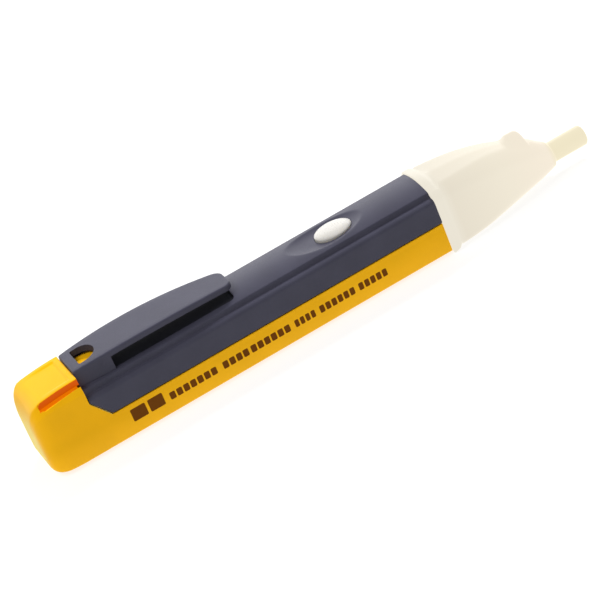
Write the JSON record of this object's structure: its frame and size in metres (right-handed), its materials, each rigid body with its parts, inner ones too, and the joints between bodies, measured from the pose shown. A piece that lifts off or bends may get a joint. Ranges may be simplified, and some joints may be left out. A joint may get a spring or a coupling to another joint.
{
  "type": "non-contact voltage tester",
  "caption": "Pen-shaped non-contact voltage tester with a translucent sensing nose, oval push button, pocket clip and slide-out battery tray.",
  "frame": {"origin": "middle of the footprint of the bounding box, on the surface the tester lies on", "axes": "+X from the tail to the sensing tip, +Z towards the clip and button side, Y across"},
  "size_m": [0.1494, 0.0182, 0.0217],
  "materials": {
    "casing_grey": "satin",
    "nose_white": "translucent satin",
    "button_white": "satin",
    "tray_yellow": "satin",
    "nickel_steel": "nickel plated",
    "cell_jacket": "printed jacket",
    "cell_terminal": "plain",
    "washer_paper": "fibre",
    "board_green": "solder mask",
    "component_black": "moulded",
    "tinned_leads": "tinned",
    "ceramic_tan": "fired",
    "buzzer_brass": "plain",
    "lamp_red": "clear",
    "copper": "bright"
  },
  "bodies": {
    "casing": {"upper_casing": "casing_grey", "clip_root_block": "casing_grey", "nose_cone": "nose_white", "circuit_board": "board_green", "board_screws": "nickel_steel", "switch_housing": "component_black", "switch_dome": "nickel_steel", "detector_chip": "component_black", "chip_leads": "tinned_leads", "resistors": "component_black", "capacitors": "ceramic_tan", "transistor": "component_black", "reservoir_capacitor": "cell_jacket", "buzzer_case": "component_black", "buzzer_plate": "buzzer_brass", "buzzer_ceramic": "ceramic_tan", "indicator_lamp": "lamp_red", "lamp_legs": "tinned_leads", "antenna_strip": "copper", "front_contact": "nickel_steel", "return_finger": "nickel_steel"},
    "tray": {"lower_tray": "tray_yellow", "rear_contact": "nickel_steel", "contact_spring": "nickel_steel", "return_strip": "nickel_steel", "battery_rear": "cell_jacket", "battery_front": "cell_jacket", "battery_terminals": "cell_terminal", "battery_washers": "washer_paper"},
    "latch": {"tray_latch": "tray_yellow"},
    "clip": {"pocket_clip": "casing_grey"},
    "button": {"push_button": "button_white", "switch_plunger": "component_black"}
  },
  "joints": [
    {"name": "battery_tray_slide", "type": "slide", "parent": "casing", "child": "tray", "axis": [-1, 0, 0], "range_m": [0, 0.087]},
    {"name": "tray_latch_press", "type": "hinge", "parent": "tray", "child": "latch", "pos_m": [-0.0705, 0, 0.01863], "axis": [0, 1, 0], "range_deg": [0, 4], "stiffness_Nm_per_rad": 0.05},
    {"name": "clip_flex", "type": "hinge", "parent": "casing", "child": "clip", "pos_m": [-0.0511, 0, 0.02081], "axis": [0, -1, 0], "range_deg": [0, 6], "stiffness_Nm_per_rad": 0.1},
    {"name": "button_press", "type": "slide", "parent": "casing", "child": "button", "axis": [0, 0, -1], "range_m": [0, 0.0004], "stiffness_N_per_m": 800}
  ]
}
